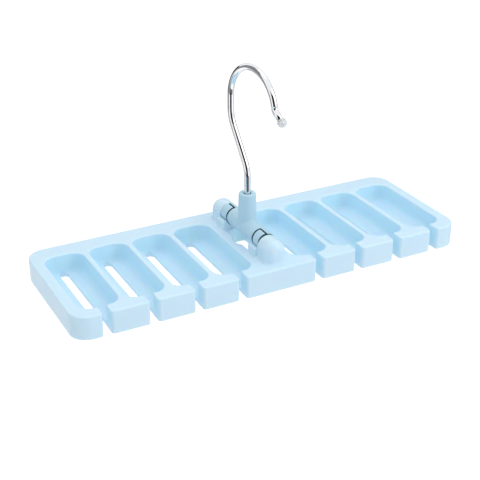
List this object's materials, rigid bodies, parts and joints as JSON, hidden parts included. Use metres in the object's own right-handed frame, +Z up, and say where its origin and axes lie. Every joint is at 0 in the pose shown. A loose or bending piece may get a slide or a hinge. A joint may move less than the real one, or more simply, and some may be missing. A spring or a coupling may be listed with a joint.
{
  "type": "tie hanger",
  "caption": "Slotted plastic rack for ties and scarves, with a chrome wire hook that swivels and folds down on a pivoting tee",
  "frame": {"origin": "centre of the rack's footprint, on its underside", "axes": "+X along the rack's length, -Y towards the open front of the slots, +Z up along the hook's stem"},
  "size_m": [0.267, 0.0926, 0.1314],
  "materials": {
    "rack_plastic": "pale sky-blue polypropylene, satin gloss, slightly translucent",
    "tee_plastic": "greyer blue moulded plastic, satin",
    "hook_chrome": "bright chrome-plated steel wire",
    "tip_plastic": "clear to white glossy plastic bead",
    "washer_steel": "plain zinc-plated steel"
  },
  "bodies": {
    "rack_body": {"rack": "rack_plastic", "front_pivot_pin": "tee_plastic", "rear_pivot_pin": "tee_plastic"},
    "tee_body": {"pivot_tee": "tee_plastic"},
    "hook_body": {"hook_wire": "hook_chrome", "tip_ball": "tip_plastic", "swivel_washer": "washer_steel"}
  },
  "joints": [
    {"name": "tee_pivot", "type": "hinge", "parent": "rack_body", "child": "tee_body", "pos_m": [0, 0, 0.0234], "axis": [0, 1, 0], "range_deg": [-5, 70]},
    {"name": "hook_swivel", "type": "hinge", "parent": "tee_body", "child": "hook_body", "pos_m": [0, 0, 0.047], "axis": [0, 0, 1], "continuous": true}
  ]
}
